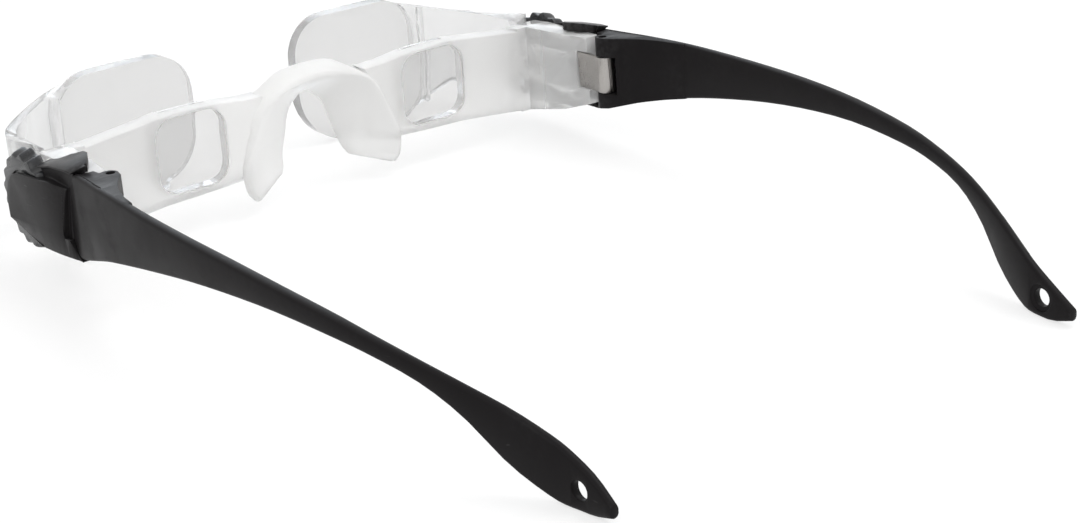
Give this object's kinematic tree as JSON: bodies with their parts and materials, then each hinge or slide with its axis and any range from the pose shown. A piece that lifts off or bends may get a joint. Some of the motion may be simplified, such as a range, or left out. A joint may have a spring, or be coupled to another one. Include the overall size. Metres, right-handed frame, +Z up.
{
  "type": "binocular glasses",
  "caption": "Binocular spectacles: clear rounded-square telescope lenses on sliding arms, frosted frame with saddle bridge, focus wheels at the hinges and black folding side arms.",
  "frame": {"origin": "on the table, under the middle of the glasses as they stand open on their objective lenses and arm tips", "axes": "+X to the wearer's left, +Y back along the side arms, +Z up"},
  "size_m": [0.146, 0.2064, 0.0318],
  "materials": {
    "clear_plastic": "clear, polished",
    "frosted_plastic": "frosted, translucent",
    "black_plastic": "satin",
    "black_grip": "moulded, slightly coarse",
    "steel": "satin"
  },
  "bodies": {
    "frame": {"eyepiece_frame": "frosted_plastic", "eyepiece_lens_left": "clear_plastic", "eyepiece_lens_right": "clear_plastic", "cover_left": "black_plastic", "cover_right": "black_plastic", "wheel_axle_left": "black_plastic", "wheel_axle_right": "black_plastic", "wheel_washer_left": "steel", "wheel_washer_right": "steel", "hinge_leaf_left": "steel", "hinge_leaf_right": "steel"},
    "temple_left": {"temple_left": "black_plastic", "hinge_pin_left": "steel"},
    "temple_right": {"temple_right": "black_plastic", "hinge_pin_right": "steel"},
    "focus_wheel_left": {"focus_wheel_left": "black_grip"},
    "focus_wheel_right": {"focus_wheel_right": "black_grip"},
    "objective_left": {"objective_lens_left": "clear_plastic", "objective_carrier_left": "clear_plastic", "follower_pin_left": "steel"},
    "objective_right": {"objective_lens_right": "clear_plastic", "objective_carrier_right": "clear_plastic", "follower_pin_right": "steel"}
  },
  "joints": [
    {"name": "temple_fold_left", "type": "hinge", "parent": "frame", "child": "temple_left", "pos_m": [0.064, -0.0424, 0.0186], "axis": [-0.0523, 0, 0.9986], "range_deg": [0, 90]},
    {"name": "temple_fold_right", "type": "hinge", "parent": "frame", "child": "temple_right", "pos_m": [-0.064, -0.0424, 0.0186], "axis": [-0.0523, 0, -0.9986], "range_deg": [0, 78]},
    {"name": "focus_turn_left", "type": "hinge", "parent": "frame", "child": "focus_wheel_left", "pos_m": [0.0673, -0.0703, 0.0167], "axis": [1, 0, 0], "range_deg": [-120, 120]},
    {"name": "focus_turn_right", "type": "hinge", "parent": "frame", "child": "focus_wheel_right", "pos_m": [-0.0673, -0.0703, 0.0167], "axis": [1, 0, 0], "range_deg": [-120, 120]},
    {"name": "objective_slide_left", "type": "slide", "parent": "frame", "child": "objective_left", "axis": [0, 1, 0], "range_m": [-0.0025, 0.0025]},
    {"name": "objective_slide_right", "type": "slide", "parent": "frame", "child": "objective_right", "axis": [0, 1, 0], "range_m": [-0.0025, 0.0025]}
  ],
  "couplings": [
    {"joint": "focus_turn_left", "follows": "objective_slide_left", "rad_per_m": 837.75},
    {"joint": "focus_turn_right", "follows": "objective_slide_right", "rad_per_m": 837.75}
  ]
}
